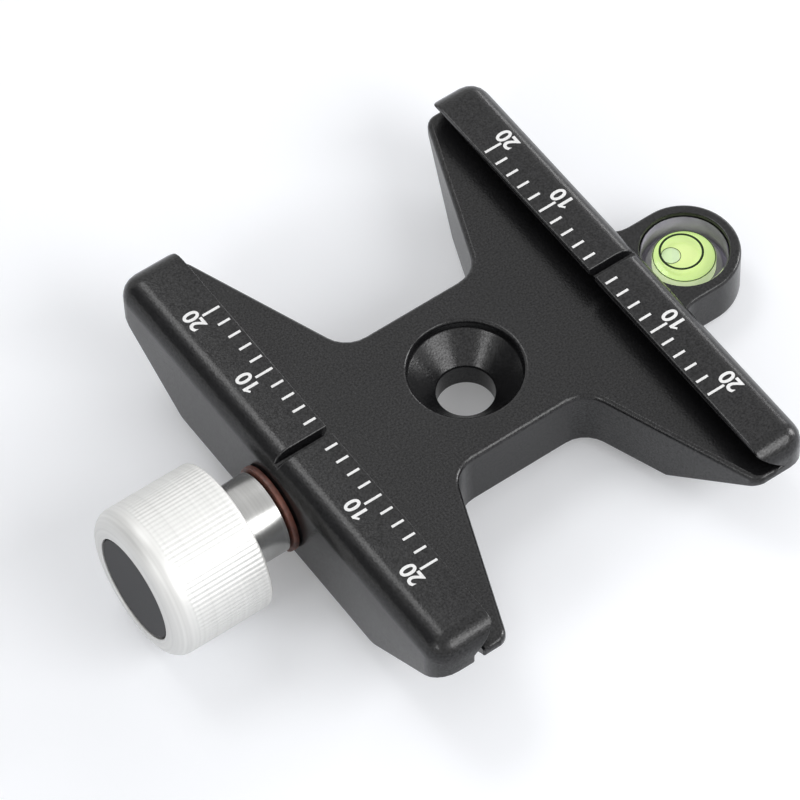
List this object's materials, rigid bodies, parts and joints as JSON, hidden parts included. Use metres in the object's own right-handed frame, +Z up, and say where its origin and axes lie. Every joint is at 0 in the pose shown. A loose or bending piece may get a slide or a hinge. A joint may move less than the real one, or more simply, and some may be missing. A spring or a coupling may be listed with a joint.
{
  "type": "camera_quick_release_clamp",
  "caption": "Black dovetail quick release clamp for a tripod head, with a fixed and a sliding jaw, a knurled silver screw knob, a countersunk mounting hole and a round green spirit level.",
  "frame": {"origin": "Centre of the mounting hole, on the plane of the underside.", "axes": "+X runs across the channel from the knob to the spirit level, +Y along the channel, +Z up out of the channel's open side."},
  "size_m": [0.0784, 0.0602, 0.0174],
  "materials": {
    "black_anodised": "bead-blasted, anodised matte black",
    "silver_anodised": "turned and knurled, clear anodised",
    "cap_black": "fine matte",
    "steel": "machined",
    "washer_brown": "matte fibre",
    "vial_clear": "clear acrylic",
    "level_green": "clear green liquid",
    "plug_white": "matte"
  },
  "bodies": {
    "base": {"base_body": "black_anodised", "level_vial": "vial_clear", "level_liquid": "level_green", "level_plug": "plug_white", "jaw_spring_front": "steel", "jaw_spring_rear": "steel"},
    "jaw": {"moving_jaw": "black_anodised", "guide_pin_front": "steel", "guide_pin_rear": "steel"},
    "knob_and_screw": {"knob": "silver_anodised", "knob_cap": "cap_black", "clamp_screw": "steel", "screw_retaining_ring": "steel", "friction_washer": "washer_brown"}
  },
  "joints": [
    {"name": "jaw_slide", "type": "slide", "parent": "base", "child": "jaw", "axis": [-1, 0, 0], "range_m": [-0.0008, 0.0048], "deforming": ["jaw_spring_front", "jaw_spring_rear"]},
    {"name": "knob_turn", "type": "hinge", "parent": "jaw", "child": "knob_and_screw", "pos_m": [-0.0309, 0, 0.0044], "axis": [-1, 0, 0], "range_deg": [-360, 2160]}
  ],
  "couplings": [
    {"joint": "knob_turn", "follows": "jaw_slide", "rad_per_m": 7854}
  ]
}
